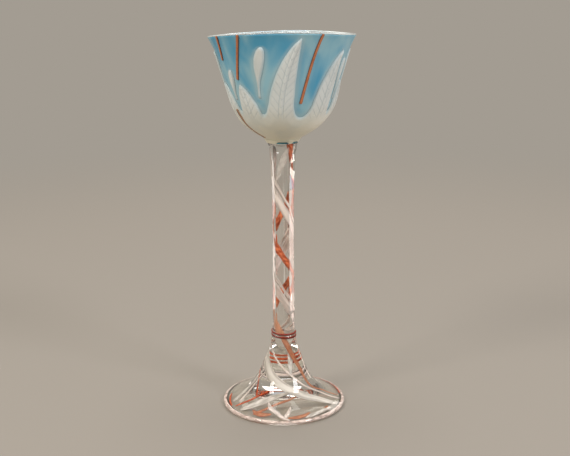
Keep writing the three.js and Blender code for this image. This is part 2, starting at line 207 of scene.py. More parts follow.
class Surface:
    # A material round one Principled shader. An input is a number, a hex colour or an output.
    def __init__(self, name, **inputs):
        self.material = bpy.data.materials.new(name)
        self.material.use_nodes = True
        self.tree = self.material.node_tree
        self.shader = self.tree.nodes["Principled BSDF"]
        self.set(**inputs)

    def fill(self, node, inputs):
        for socket, value in inputs.items():
            if isinstance(value, bpy.types.NodeSocket):
                self.tree.links.new(value, node.inputs[socket])
            else:
                plain = linearColour(value) if isinstance(value, str) else value
                node.inputs[socket].default_value = plain

    def set(self, **inputs):  # inputs of the shader, with _ for each space
        self.fill(self.shader, {name.replace("_", " "): inputs[name] for name in inputs})

    def add(self, kind, inputs=(), output=0, **settings):
        # A new node with its settings and links. A list of inputs goes in order of sockets.
        node = self.tree.nodes.new("ShaderNode" + kind)
        for name, value in {**usualSettings.get(kind, {}), **settings}.items():
            setattr(node, name, value)
        self.fill(node, inputs if isinstance(inputs, dict) else dict(enumerate(inputs)))
        return node.outputs[output]

    def layered(self, body, *layers):  # each layer is its share and its colour
        for share, colour in layers:
            body = self.add("Mix", {mixFactor: share, mixA: body, mixB: colour}, mixResult)
        return body

    def objectNoise(self, size, detail, stretch=(1, 1, 1), distortion=0.0):
        # Noise on Object coordinates, with features of this size in millimetres.
        place = self.add("TexCoord", output="Object")
        place = self.add("Mapping", {"Vector": place, "Scale": stretch})
        return self.add("TexNoise", {"Vector": place, "Scale": 1 / (size * mm),
                                     "Detail": detail, "Distortion": distortion}, "Fac")

    def mixIn(self, share, other):  # a second shader, for a share of the light
        both = self.add("MixShader", [share, self.shader.outputs[0], other])
        self.fill(self.tree.nodes["Material Output"], {"Surface": both})

    def passLamps(self, colour):
        # Lamp light passes the glass in this colour, so that what lies in it is lit.
        self.mixIn(self.add("LightPath", output="Is Shadow Ray"),
                   self.add("BsdfTransparent", [colour]))


# Camera

camera = {
    "place": (0.00083, -0.3778, 0.1682),
    "pitch": 13.67,
    "roll": -0.3,
    "lens": 59.62,
    "sensor": 36.0,
}


def setCamera():
    data = bpy.data.cameras.new("viewCamera")
    data.lens = camera["lens"]
    data.sensor_width = camera["sensor"]
    data.clip_start = 0.01
    data.clip_end = 20
    eye = bpy.data.objects.new("viewCamera", data)
    eye.matrix_world = (Matrix.Translation(camera["place"])
                        @ Matrix.Rotation(radians(90 - camera["pitch"]), 4, "X")
                        @ Matrix.Rotation(radians(camera["roll"]), 4, "Z"))
    bpy.context.scene.collection.objects.link(eye)
    bpy.context.scene.camera = eye


# Stage: a paper sweep that rises all round, and soft lamps

stage = {
    "innerFloor": 0.4,
    "floorRadius": 1.6,
    "sweepRound": 0.5,
    "wallTop": 2.4,
    "paper": "a39c92",
    "ownLightFrom": 0.30,
    "ownLightTo": 0.75,
    "stripHeight": 0.002,
    "overhead": "d8dade",
    "overheadStrength": 0.8,
}
lamps = [
    # name, place, width, height, watts, colour
    ("leftSoftbox", (-0.80, -0.62, 0.80), 0.34, 0.46, 6.6, "fff8f0"),
    ("rightSoftbox", (0.78, -0.60, 0.72), 0.30, 0.44, 5.6, "fbfaff"),
    ("topPanel", (0.0, 0.15, 1.30), 0.70, 0.50, 3.5, "ffffff"),
    ("backPanel", (0.05, 1.00, 0.75), 0.90, 0.35, 3.0, "fff8f2"),
]
lampAim = Vector((0, 0, 0.09))
# Light strips that lie on the floor behind the glass, pointing up, where the narrow faces of
# the stem mirror them: name, distance of both ends from the axis, angle, width, watts, colour.
floorStrips = [
    ("rightFaceStrip", 0.12, 0.405, 46.5, 0.030, 0.065, "ffe6dc"),
    ("rightFaceSky", 0.406, 0.441, 47.0, 0.038, 0.0115, "c4d2e6"),
    ("rightFaceGleam", 0.442, 0.459, 47.2, 0.042, 0.011, "fff8ee"),
    ("leftFaceStrip", 0.12, 0.64, 117.0, 0.012, 0.024, "fff6f0"),
]


def sweepPaper():
    # Seamless background paper, matt. Away from the glass it gives off its own colour, so
    # that it looks even from every side.
    paper = Surface("mattSeamlessPaper", Base_Color=stage["paper"], Roughness=0.9,
                    Specular_IOR_Level=0.1)
    place = paper.add("TexCoord", output="Object")
    far = paper.add("VectorMath", [place], "Value", operation="LENGTH")
    share = paper.add("MapRange", [far, stage["ownLightFrom"], stage["ownLightTo"]])
    paper.mixIn(share, paper.add("Emission", [stage["paper"], 1.0]))
    return paper.material


def addLamp(name, place, turn, width, height, watts, colour):
    data = bpy.data.lights.new(name, "AREA")
    data.shape = "RECTANGLE"
    data.size = width
    data.size_y = height
    data.energy = watts
    data.color = linearColour(colour)[:3]
    lamp = bpy.data.objects.new(name, data)
    lamp.location = place
    lamp.rotation_euler = turn.to_euler()
    lamp.visible_camera = False
    bpy.context.scene.collection.objects.link(lamp)


def setStage():
    reach, rounding = stage["floorRadius"], stage["sweepRound"]
    bm = spun([(0, 0), (stage["innerFloor"], 0), (reach, 0),
               *arc((reach, rounding), rounding, rounding, range(-75, 1, 15)),
               (reach + rounding, stage["wallTop"])], 96)
    bmesh.ops.reverse_faces(bm, faces=[f for f in bm.faces if f.normal.z < -0.5])
    sweep = linkMesh(bm, "paperSweep", [sweepPaper()])
    for name, place, width, height, watts, colour in lamps:
        turn = (lampAim - Vector(place)).to_track_quat("-Z", "Y")
        addLamp(name, Vector(place), turn, width, height, watts, colour)
    for name, near, far, angle, width, watts, colour in floorStrips:
        turn = Euler((pi, 0, radians(angle))).to_quaternion()
        place = polar((near + far) / 2, angle, stage["stripHeight"])
        addLamp(name, place, turn, far - near, width, watts, colour)
    world = bpy.data.worlds.new("studio")
    world.use_nodes = True
    ground = world.node_tree.nodes["Background"]
    ground.inputs["Color"].default_value = linearColour(stage["overhead"])
    ground.inputs["Strength"].default_value = stage["overheadStrength"]
    bpy.context.scene.world = world


# Clear glass, and where two hot pieces of it melted together

def clearGlass(name, waviness, waveSize):
    # Polished soda-lime glass, shaped hot: clear, with a faint unevenness in its shine.
    glass = Surface(name, Base_Color="f4f3ef", Roughness=0.0, IOR=1.5, Transmission_Weight=1.0)
    glass.set(Normal=glass.add("Bump", {"Height": glass.objectNoise(waveSize, 1.0),
                                        "Strength": 0.5, "Distance": waviness * mm}))
    glass.passLamps("f2f2ee")
    return glass.material


def fusedJoint():
    # Where two clear pieces melted into one there is no surface left to see.
    return Surface("fusedJoint", Base_Color="ffffff", Alpha=0.0).material


# Bowl

bowl = {
    "footRadius": 6.2,
    "shoulderRadius": 20.2,
    "shoulderHeight": 15.4,
    "neckRadius": 29.1,
    "lowerPulls": [(0.06, 0.28), (0.67, 0.24)],
    "upperPulls": [(0.29, 0.25), (0.60, 0.76)],
    "lipHeight": 0.76,
    "lipOverhang": 0.14,
    "lipRound": 0.4,
    "beadMilk": 0.46,
    "blueThickness": 0.6,
    "cupGap": 0.04,
    "cupThickness": 1.2,
    "floorThickness": 3.2,
    "floorEdge": 0.92,
    "segments": 216,
    "lipDrop": 1.29,
    "lipWaves": [(1, 0.666, -63), (2, 0.62, 171), (5, 0.04, 10)],
    "waveReach": 12.0,
}
bowlBottom = nodeBox("bowl_blue_layer")[0].z
bowlTop = nodeBox("bowl_cup")[1].z


def bowlOutline():
    # Two curves, from foot to shoulder and on to the lip. Each pull is a share of its span.
    foot = Vector((bowl["footRadius"], bowlBottom))
    shoulder = Vector((bowl["shoulderRadius"], bowlBottom + bowl["shoulderHeight"]))
    lip = Vector((bowl["neckRadius"], bowlTop - bowl["lipHeight"]))
    points = []
    for low, high, pulls in ((foot, shoulder, bowl["lowerPulls"]),
                             (shoulder, lip, bowl["upperPulls"])):
        pulled = [low + (high - low) * Vector(pull) for pull in pulls]
        curve = interpolate_bezier(low, *pulled, high, 90)
        points = points[:-1] + [Vector(point[:2]) for point in curve]
    return points


bowlFace = TurnedFace(bowlOutline())


def handmade(point):
    # The lip was trimmed by hand: it stands highest at the front and dips at both sides.
    angle = atan2(point.y, point.x)
    dip = -bowl["lipDrop"]
    for count, size, turn in bowl["lipWaves"]:
        dip += size * cos(count * angle - radians(turn))
    share = blendStep(bowlTop - bowl["waveReach"], bowlTop, point.z)
    return Vector((point.x, point.y, point.z + dip * share))


def onBowl(along, angle, lift=0.0):
    return handmade(bowlFace.place(along, angle, lift))


# The bowl's face with the lip's bead over it, for threads that run up into the lip.
threadFace = TurnedFace(bowlFace.outline + [
    Vector((bowl["neckRadius"] + bowl["lipOverhang"], bowlTop - bowl["lipRound"]))])


def onThreadFace(along, angle, lift):
    return handmade(threadFace.place(along, angle, lift))


def settled(bm):
    for vert in bm.verts:
        vert.co = handmade(vert.co)
    return bm


def aboveFloor(profile, floor):
    kept = [(radius, height) for radius, height in profile if height > floor]
    return [(kept[0][0] * bowl["floorEdge"], floor)] + kept


# The white layer and what the cutting left of it

white = {
    "low": 0.08,
    "full": 0.72,
    "crown": 0.30,
    "crownFrom": 0.9,
    "crownTo": 4.2,
    "edge": 0.95,
    "edgeLift": 0.04,
    "snap": 0.35,
    "start": 0.8,
    "reach": 16.5,
    "rootOverlap": 2.5,
    "leafHalf": 4.5,
    "leafPoint": 0.75,
    "leafFoot": 0.8,
    "leafBelly": 0.9,
    "flareTo": 0.3,
    "rootFlare": 2.6,
    "valleyRound": 2.4,
    "leafNear": 8,
    "offLeaf": 9.0,
    "budHalf": 1.9,
    "stalkHalf": 0.45,
    "budRoom": 3.2,
    "budWander": 0.5,
    "wander": 0.16,
    "wanderSize": 5.0,
    "spacing": 0.42,
    "warmShadeHeight": 19,
    "skirtRise": 0.95,
    "skirtFlare": 1.15,
    "skirtOverlap": 0.06,
    "skirtOut": 0.12,
    "skirtHalf": 0.34,
    "drips": [(0, 0.9), (40, 1), (150, 1), (247, 1), (254, 0.05), (286, 0), (293, 0.9),
              (300, 1), (306, 0.85), (313, 0.1), (332, 0.15), (345, 0.85), (360, 0.9)],
    "ribHalf": 0.5,
    "ribRise": 0.22,
    "grooveAt": 0.85,
    "grooveHalf": 0.28,
    "veinStep": 3.1,
    "veinSlope": 1.2,
    "veinHalf": 0.30,
    "haze": 2.6,
}
leafBase = white["reach"] - white["rootOverlap"]
# Each leaf: angle at the root and at the tip, share of the way up, width.
leaves = [
    (233, 226, 0.60, 1.25), (268, 285, 0.97, 1.30), (316, 331, 0.87, 1.30),
    (352, 344, 0.62, 1.12), (32, 47, 0.92, 1.22), (70, 60, 0.64, 1.15),
    (113, 127, 0.93, 1.22), (158, 172, 0.88, 1.20), (204, 196, 0.60, 1.10),
]
# Each bud: angle at the foot and at the tip, shares of the way up for both, width.
buds = [
    (247, 253, 0.50, 0.90, 1.15), (215, 215, 0.47, 0.71, 0.80), (336, 340, 0.47, 0.80, 0.85),
    (1, 5, 0.50, 0.88, 0.90), (51, 56, 0.48, 0.86, 1.00), (134, 139, 0.47, 0.79, 1.00),
    (178, 183, 0.50, 0.86, 0.95),
]
# How wide a bud is, by share of the way from its foot to its tip
budSwell = [(0, 0), (0.20, 0.02), (0.30, 0.14), (0.40, 0.36), (0.50, 0.63), (0.60, 0.86),
            (0.70, 0.98), (0.77, 1), (0.85, 0.90), (0.92, 0.70), (0.97, 0.38), (1.0, 0)]


def leafShare(reach, along):  # share of a leaf's height at which a place lies
    return (along - leafBase) / (reach * bowlFace.length - leafBase)


def sideways(along, angle, centre):  # millimetres round the bowl from a centre angle
    turn = (angle - centre + 180) % 360 - 180
    return radians(turn) * bowlFace.radius(along)


def handCut(along, angle):  # the cut edge wanders a little
    place = bowlFace.place(along, angle) / white["wanderSize"]
    return white["wander"] * noise.noise(place)


def leafDepth(leaf, along, angle):  # how far inside a leaf's edge a place lies, outside below 0
    root, tip, reach, width = leaf
    share = leafShare(reach, along)
    t = min(max(share, 0.0), 1.0)
    half = width * white["leafHalf"] * (1 - t) ** white["leafPoint"]
    half *= white["leafFoot"] + white["leafBelly"] * t
    half += white["rootFlare"] * max(1 - t / white["flareTo"], 0.0) ** 2
    past = max(share - 1, 0.0) * (reach * bowlFace.length - leafBase)
    return half - abs(sideways(along, angle, root + (tip - root) * t * t)) - past


def leafPlace(along, angle):  # how far beside and up the middle of its leaf a place lies
    root, tip, reach, _ = leaf = max(leaves, key=lambda one: leafDepth(one, along, angle))
    t = leafShare(reach, along)
    if t < 0 or leafDepth(leaf, along, angle) < 0:
        return white["offLeaf"], 0.0
    return abs(sideways(along, angle, root + (tip - root) * t * t)), along - leafBase


def whiteDepth(along, angle):
    depth = white["reach"] - along
    for leaf in leaves:
        other = leafDepth(leaf, along, angle)
        if other > -white["leafNear"]:
            ease = max(white["valleyRound"] - abs(depth - other), 0.0) / white["valleyRound"]
            depth = max(depth, other) + ease * ease * white["valleyRound"] / 4
    return min(depth, along - white["start"]) + handCut(along, angle)


def budDepth(bud, along, angle):
    foot, tip, low, high, width = bud
    share = (along / bowlFace.length - low) / (high - low)
    t = min(max(share, 0.0), 1.0)
    half = white["stalkHalf"] + (width * white["budHalf"] - white["stalkHalf"]) * between(budSwell, t)
    past = abs(share - t) * (high - low) * bowlFace.length
    ends = min(along - low * bowlFace.length, high * bowlFace.length - along) + 0.1
    side = sideways(along, angle, foot + (tip - foot) * t * t)
    return min(half - abs(side), ends) - past + handCut(along, angle) * white["budWander"]


def slid(depthAt, along, angle, limit):
    # Slides a place of the sheet onto the cut edge, where the depth is 0.
    nudge = 0.05  # millimetres, to feel which way the depth falls
    perDegree = radians(1) * bowlFace.radius(along)
    start = (along, angle)
    for _ in range(4):
        depth = depthAt(along, angle)
        up = (depthAt(along + nudge, angle) - depth) / nudge
        side = (depthAt(along, angle + nudge / perDegree) - depth) / nudge
        steep = max(up * up + side * side, 0.05)
        along -= depth * up / steep
        angle -= depth * side / steep / perDegree
    moved = hypot(along - start[0], (angle - start[1]) * perDegree)
    if moved > limit:
        part = limit / moved
        along = start[0] + (along - start[0]) * part
        angle = start[1] + (angle - start[1]) * part
    return along, angle


def reliefLift(depth):
    share = min(max(depth / white["edge"], 0.0), 1.0)
    lift = white["low"] + white["edgeLift"] + (white["full"] - white["low"]) * (1 - (1 - share) ** 2)
    return lift + white["crown"] * blendStep(white["crownFrom"], white["crownTo"], depth)


def ribRise(beside, up):  # how far a leaf's midrib stands over the leaf
    return white["ribRise"] * exp(-(beside / white["ribHalf"]) ** 2) * blendStep(1.0, 6.0, up)


def cutRelief(depthAt, lowAlong, highAlong, lowAngle, highAngle, ribbed=False):
    # A flat sheet of angle by distance, trimmed to the cut edge, thickened by the relief
    # and wrapped round the bowl.
    space = white["spacing"]
    closed = highAngle - lowAngle >= 360
    columns = round(radians(highAngle - lowAngle) * bowlFace.radius(highAlong) / space)
    rows = round((highAlong - lowAlong) / space)
    bm = bmesh.new()
    bmesh.ops.create_grid(bm, x_segments=columns, y_segments=rows, size=0.5)
    depthLayer = bm.verts.layers.float.new("depth")
    ribLayer = bm.verts.layers.float.new("besideRib")
    upLayer = bm.verts.layers.float.new("upLeaf")
    for vert in bm.verts:
        angle = lowAngle + (vert.co.x + 0.5) * (highAngle - lowAngle)
        along = lowAlong + (vert.co.y + 0.5) * (highAlong - lowAlong)
        depth = depthAt(along, angle)
        if abs(depth) < white["snap"] * space:
            along, angle = slid(depthAt, along, angle, 0.5 * space)
            depth = 0.0
        vert.co = (angle, along, 0)
        vert[depthLayer] = depth
    outside = [f for f in bm.faces if max(v[depthLayer] for v in f.verts) <= 1e-6]
    bmesh.ops.delete(bm, geom=outside, context="FACES")
    for vert in bm.verts:
        if vert[depthLayer] < 0:
            along, angle = slid(depthAt, vert.co.y, vert.co.x, 1.5 * space)
            vert.co = (angle, along, 0)
            vert[depthLayer] = 0.0
    raised = bmesh.ops.extrude_face_region(bm, geom=bm.faces[:], use_keep_orig=True)["geom"]
    for item in raised:
        if isinstance(item, bmesh.types.BMVert):
            item.co.z = reliefLift(item[depthLayer])
            if ribbed:
                item.co.z += ribRise(*leafPlace(item.co.y, item.co.x))
    if closed:
        seam = [f for f in bm.faces if any(
            all(abs(v.co.x - end) < 1e-3 for v in f.verts) for end in (lowAngle, highAngle))]
        bmesh.ops.delete(bm, geom=seam, context="FACES")
    for vert in bm.verts:
        angle, along, lift = vert.co
        vert[ribLayer], vert[upLayer] = (leafPlace(along, angle) if ribbed
                                         else (white["offLeaf"], 0.0))
        vert.co = onBowl(along, angle, lift if lift > 0 else white["low"])
    return cleaned(bm)


def engravedLines(opal, depth):
    # Lines cut with the wheel beside each leaf's midrib, and side veins: 1 on a line, 0 off it.
    beside = opal.add("Attribute", output="Fac", attribute_name="besideRib")
    up = opal.add("Attribute", output="Fac", attribute_name="upLeaf")
    off = opal.add("Math", [beside, white["grooveAt"]], operation="SUBTRACT")
    off = opal.add("Math", [off], operation="ABSOLUTE")
    groove = opal.add("MapRange", [off, 0.0, white["grooveHalf"], 0.85, 0.0])
    fallen = opal.add("Math", [beside, white["veinSlope"]], operation="MULTIPLY")
    rank = opal.add("Math", [up, fallen], operation="SUBTRACT")
    rank = opal.add("Math", [rank, white["veinStep"]], operation="DIVIDE")
    phase = opal.add("Math", [rank], operation="FRACT")
    off = opal.add("Math", [phase, 0.5], operation="SUBTRACT")
    off = opal.add("Math", [off], operation="ABSOLUTE")
    vein = opal.add("MapRange", [off, 0.0, white["veinHalf"] / white["veinStep"], 0.75, 0.0])
    line = opal.add("Math", [groove, vein], operation="MAXIMUM")
    for inside in (opal.add("MapRange", [depth, 0.45, 1.1]), opal.add("MapRange", [up, 1.5, 5.0])):
        line = opal.add("Math", [line, inside], operation="MULTIPLY")
    return line


def etchedOpal():
    # Opal glass cased over the blue and cut back with acid: matt, soft and even, thin and
    # bluish at its cut edges. Toward the foot of the bowl it turns warmer and greyer: partly
    # the glass's own warmer tone, partly painted shade for the lesser light that reaches there.
    opal = Surface("acidEtchedOpalGlass", IOR=1.5, Specular_IOR_Level=0.45)
    # Partly the glass's warmer tone, partly painted shade: the opal is coloured warmer and greyer
    # toward the foot of the bowl.
    height = opal.add("SeparateXYZ", [opal.add("TexCoord", output="Object")], "Z")
    low = opal.add("MapRange", [height, bowlBottom * mm, (bowlBottom + white["warmShadeHeight"]) * mm])
    patch = opal.add("MapRange", [opal.objectNoise(9, 3.0), 0.42, 0.72, 0.0, 0.30])
    depth = opal.add("Attribute", output="Fac", attribute_name="depth")
    thin = opal.add("MapRange", [depth, 0.0, 1.1, 0.5, 0.0])
    line = engravedLines(opal, depth)
    faint = opal.add("Math", [line, 0.34], operation="MULTIPLY")
    grain = opal.objectNoise(0.9, 3.0)
    satin = opal.add("Bump", {"Height": grain, "Strength": 0.25, "Distance": 0.05 * mm})
    whole = opal.add("Math", [1.0, line], operation="SUBTRACT")
    opal.set(Base_Color=opal.layered("eae6d0", (low, "e3e9e7"), (patch, "bfc9c8"),
                                     (thin, "9fc0c9"), (faint, "86a9b4")),
             Normal=opal.add("Bump", {"Height": whole, "Strength": 0.8, "Distance": 0.16 * mm,
                                      "Normal": satin}),
             Roughness=opal.add("MapRange", [grain, 0.3, 0.7, 0.36, 0.50]))
    return opal.material


def etchedBlue():
    # Blue glass bared by the acid: satin, uneven in depth, with pale haze beside the white.
    blue = Surface("acidEtchedBlueGlass", Roughness=0.38, IOR=1.5, Specular_IOR_Level=0.2)
    patch = blue.add("MapRange", [blue.objectNoise(13, 2.5, (1, 1, 0.55), 0.5), 0.34, 0.66])
    haze = blue.add("Attribute", output="Fac", attribute_name="haze")
    near = blue.add("MapRange", [haze, 0.0, 1.0, 0.0, 0.55])
    blue.set(Base_Color=blue.layered("56a6ca", (patch, "9ac8d6"), (near, "b4cdd2")),
             Normal=blue.add("Bump", {"Height": blue.objectNoise(1.2, 3.0), "Strength": 0.25,
                                      "Distance": 0.05 * mm}))
    return blue.material


def lipGlass():
    # The cup's own glass is clear, with a milky bead melted at its lip. Toward its left and right
    # sides the bead is made milkier still, a painted highlight for the white glint on its ends.
    cup = Surface("firePolishedCupGlass", Roughness=0.03, IOR=1.5)
    bead = cup.add("Attribute", output="Fac", attribute_name="bead")
    milky = cup.add("MapRange", [bead, 0.2, 0.8])
    cup.set(Base_Color=cup.layered("f2f4f2", (milky, "e2e8e4")),
            Transmission_Weight=cup.add("MapRange", [bead, 0.2, 0.8, 1.0, 0.1]))
    cup.passLamps("e6e8e6")
    return cup.material


def makeBlueLayer():
    floor = bowlBottom + bowl["blueThickness"]
    inner = bowlFace.profile(-bowl["blueThickness"], 60)
    bm = spun([(0, bowlBottom), *bowlFace.profile(0, 110),
               *reversed(aboveFloor(inner, floor)), (0, floor)], bowl["segments"])
    haze = bm.verts.layers.float.new("haze")
    heights = [point.y for point in bowlFace.outline]
    for vert in bm.verts:
        i = min(bisect_right(heights, vert.co.z), len(heights) - 1)
        along = bowlFace.reached[i]
        angle = degrees(atan2(vert.co.y, vert.co.x))
        depth = max([whiteDepth(along, angle)] + [budDepth(bud, along, angle) for bud in buds])
        vert[haze] = blendStep(-white["haze"], 0.2, depth)
    finishPiece(settled(bm), "blueLayer", [etchedBlue()], ["bowl_blue_layer"])


def makeCup():
    outerLift = -(bowl["blueThickness"] + bowl["cupGap"])
    underFloor = bowlBottom + bowl["blueThickness"] + bowl["cupGap"]
    floor = underFloor + bowl["floorThickness"]
    outer = aboveFloor(bowlFace.profile(outerLift, 60), underFloor)
    inner = aboveFloor(bowlFace.profile(outerLift - bowl["cupThickness"], 60), floor)
    underLip = bowlTop - bowl["lipRound"] - 0.02
    outer = [point for point in outer if point[1] < underLip]
    inner = [point for point in inner if point[1] < underLip]
    outermost = bowl["neckRadius"] + bowl["lipOverhang"]
    half = (outermost - inner[-1][0]) / 2
    centre = (outermost - half, bowlTop - bowl["lipRound"])
    lip = arc(centre, half, bowl["lipRound"], range(-45, 181, 15))
    bm = spun([(0, underFloor), *outer, *lip, *reversed(inner), (0, floor)], bowl["segments"])
    bead = bm.verts.layers.float.new("bead")
    for vert in bm.verts:
        # Painted highlight: the bead is made milkier toward its left and right sides, for the glint
        # there.
        sideGlint = abs(cos(atan2(vert.co.y, vert.co.x))) ** 4
        vert[bead] = (blendStep(centre[1] - 2 * bowl["lipRound"], centre[1], vert.co.z)
                      * (bowl["beadMilk"] + (1 - bowl["beadMilk"]) * sideGlint))
    finishPiece(settled(bm), "clearCup", [lipGlass()], ["bowl_cup"])


def makeWhiteSkirt(opal):
    # The white runs down over the wafer in drips, and leaves it bare in a few places.
    low, high = nodeBox("bowl_wafer")
    overlap = white["skirtOverlap"]
    middle = bowl["footRadius"] + white["skirtOut"]

    def onSkirt(around, share):
        angle, phase = 360 * share, tau * around
        drip = between(white["drips"], angle)
        bottom = high.z + overlap - drip * (high.z - low.z + 2 * overlap)
        up = 0.5 + 0.5 * sin(phase)
        radius = middle + white["skirtHalf"] * cos(phase) + white["skirtFlare"] * up * up
        return polar(radius, angle, bottom + (high.z + white["skirtRise"] - bottom) * up)
    bm = wrappedTube(16, 240, onSkirt)
    depth = bm.verts.layers.float.new("depth")
    beside = bm.verts.layers.float.new("besideRib")
    for vert in bm.verts:
        vert[depth] = vert[beside] = white["offLeaf"]
    finishPiece(bm, "whiteSkirt", [opal], [])


def makeWhiteLayer(opal):
    bm = cutRelief(whiteDepth, white["start"] - 0.3, bowlFace.length - 0.4, 0, 360, ribbed=True)
    finishPiece(bm, "whiteLayer", [opal], ["bowl_white_layer"])
    for number, bud in enumerate(buds, 1):
        foot, tip, low, high, _ = bud
        spread = degrees(white["budRoom"] / bowlFace.radius(low * bowlFace.length))
        bm = cutRelief(lambda along, angle: budDepth(bud, along, angle),
                       low * bowlFace.length - 0.5, high * bowlFace.length + 0.5,
                       min(foot, tip) - spread, max(foot, tip) + spread)
        finishPiece(bm, f"whiteBud{number}", [opal], [f"white_bud_{number}"])


# Threads on the bowl

threadSizes = {
    "half": 0.55,
    "low": -0.12,
    "high": 0.52,
    "lowThreadLow": 0.66,
    "lowThreadHigh": 1.30,
    "lowSteps": [(0.40, 211), (0.23, 214), (0.067, 219)],
}
# Each thread: angle at the lip and at its end, and the end's share of the way up.
threads = [
    (236.2, 224, 0.635), (213, 206.7, 0.78), (301.6, 289.5, 0.45),
    (382, 372, 0.56), (96, 94, 0.50), (147, 143, 0.85),
]


def strandPlace(place, radiusAt, path, low, high, blunt=0.75, endLength=1.3):
    # Turns a line of (along, angle, half width) on a face into a flat, round-edged tube. Its
    # ends close over endLength half widths.
    line = curveThrough(path, 24)
    reach = sum(hypot(b.x - a.x, radians(b.y - a.y) * max(radiusAt(a.x), 1.0))
                for a, b in zip(line, line[1:]))

    def at(around, share):
        i = min(int(share * (len(line) - 1)), len(line) - 2)
        part = share * (len(line) - 1) - i
        step = line[i].lerp(line[i + 1], part)
        before, after = line[max(i - 2, 0)], line[min(i + 3, len(line) - 1)]
        perDegree = radians(1) * max(radiusAt(step.x), 1.0)
        run = after.x - before.x
        turn = (after.y - before.y) * perDegree
        stride = hypot(run, turn)
        end = min(share, 1 - share) * reach / (endLength * step.z)
        size = max(roundEnd(end), 0.05)
        phase = tau * around
        side = blunted(cos(phase), blunt) * step.z * size
        lift = (low + high) / 2 + blunted(sin(phase), blunt) * (high - low) / 2 * size
        return place(step.x + side * turn / stride, step.y - side * run / stride / perDegree, lift)
    return at


def threadGlass(name, middle, rim):
    # A thread of coloured glass trailed on hot and pressed in: shiny, with a second colour on
    # its sides. Where that colour is darker, as on the orange and ruby threads, it is painted
    # shade on the thread's rounded sides. The brown thread is paler there.
    thread = Surface(name, Roughness=0.22, IOR=1.5)
    around = thread.add("SeparateXYZ", [thread.add("UVMap", output="UV", uv_map="strand")], "X")
    offTop = thread.add("Math", [around, 0.25], operation="SUBTRACT")
    offTop = thread.add("Math", [offTop], operation="ABSOLUTE")
    spot = thread.add("MapRange", [thread.objectNoise(1.6, 2.0), 0.4, 0.75, 0.0, 0.5])
    # Painted shade: away from its crest the thread takes the rim colour, which is darker on the
    # orange and ruby threads.
    dark = thread.add("MapRange", [offTop, 0.05, 0.22])
    thread.set(Base_Color=thread.layered(middle, (spot, rim), (dark, rim)))
    return thread.material


def makeThreads():
    # Its darker rim colour is painted shade on the thread's sides.
    amber = threadGlass("trailedOrangeGlass", "cb7f54", "94523a")
    brown = threadGlass("trailedBrownGlass", "84604a", "c09a7c")
    half = threadSizes["half"]
    top = threadFace.length
    for number, (topAngle, endAngle, share) in enumerate(threads, 1):
        end = share * bowlFace.length
        path = [(top, topAngle, half), ((top + end) / 2, (topAngle + endAngle) / 2, half),
                (end, endAngle, half)]
        bm = wrappedTube(20, 60, strandPlace(onThreadFace, bowlFace.radius, path,
                                             threadSizes["low"], threadSizes["high"]))
        finishPiece(bm, f"orangeThread{number}", [amber],
                    [f"orange_thread_{number}"])
    path = [(share * bowlFace.length, angle, half) for share, angle in threadSizes["lowSteps"]]
    bm = wrappedTube(16, 60, strandPlace(onBowl, bowlFace.radius, path, threadSizes["lowThreadLow"],
                                         threadSizes["lowThreadHigh"]))
    finishPiece(bm, "lowThread", [brown], ["low_thread"])


# Wafer between bowl and stem

wafer = {"round": 0.3, "segments": 144}


def tealGlass():
    # A gathered bead of deep blue-green glass, shiny and nearly black where it is thick.
    teal = Surface("deepTealGlass", Roughness=0.06, IOR=1.5)
    patch = teal.add("MapRange", [teal.objectNoise(5, 2.0), 0.4, 0.65])
    teal.set(Base_Color=teal.layered("254a54", (patch, "4d8792")))
    return teal.material


def makeWafer():
    low, high = nodeBox("bowl_wafer")
    rounding = wafer["round"]
    side = high.x - rounding
    bm = spun([(0, low.z), *arc((side, low.z + rounding), rounding, rounding, range(-90, 1, 15)),
               *arc((side, high.z - rounding), rounding, rounding, range(0, 91, 15)),
               (0, high.z)], wafer["segments"])
    finishPiece(bm, "tealWafer", [tealGlass()], ["bowl_wafer"])


# Stem

stem = {
    "footRadius": 5.0,
    "midRadius": 4.7,
    "topRadius": 6.3,
    "lowFlareTo": 0.45,
    "lowFlarePower": 1.5,
    "topFlareFrom": 0.6,
    "topFlarePower": 2.4,
    "sides": 5,
    "faceTurn": 266,
    "waistRadius": 4.85,
    "waistReach": 2.4,
    "cornerAt": 0.985,
    "cornerRound": 0.16,
    "facetSink": 0.06,
    "strandTop": 0.12,
    "strandBlunt": (0.8, 0.7),
}
# How far the facets are cut, from 0 at a round stem to 1, by share of the stem's height
facetLevels = [(0, 0.3), (0.03, 0.7), (0.08, 1), (0.9, 1), (0.945, 0.9), (0.98, 0.5), (1, 0)]
stemBottom = nodeBox("stem_shaft")[0].z
stemTop = nodeBox("stem_shaft")[1].z
# Each strand: name, node, cane, thickness, and steps of (height, angle, half width round the
# axis). They twist fast below, and slow down and thin out near the bowl.
stemStrands = [
    ("whiteBand", "stem_white_band", "white", 0.9, [
        (30.9, 782, 28), (46.1, 631, 28), (60, 503, 28), (74, 375, 28), (88, 246, 28),
        (96, 184, 25), (101.5, 154, 22), (112, 127, 18)]),
    ("whiteLine", "stem_white_line", "white", 0.7, [
        (30.9, 830, 9), (50.9, 632, 9), (63, 521, 9), (76, 402, 9), (88, 291, 9),
        (96, 229, 9), (101.5, 199, 8), (112, 172, 7)]),
    ("redCane", "stem_red_cane", "stemRed", 1.2, [
        (30.9, 982, 24), (40, 901, 24), (49.5, 810, 24), (64.8, 630, 24), (82.9, 450, 24),
        (92, 381, 20), (101.5, 337, 15), (107, 317, 15), (112, 301, 15)]),
    ("topVeil", None, "veil", 0.5, [
        (97, 236, 3), (99, 248, 12), (104, 268, 20), (108, 284, 14), (110.5, 296, 4)]),
]


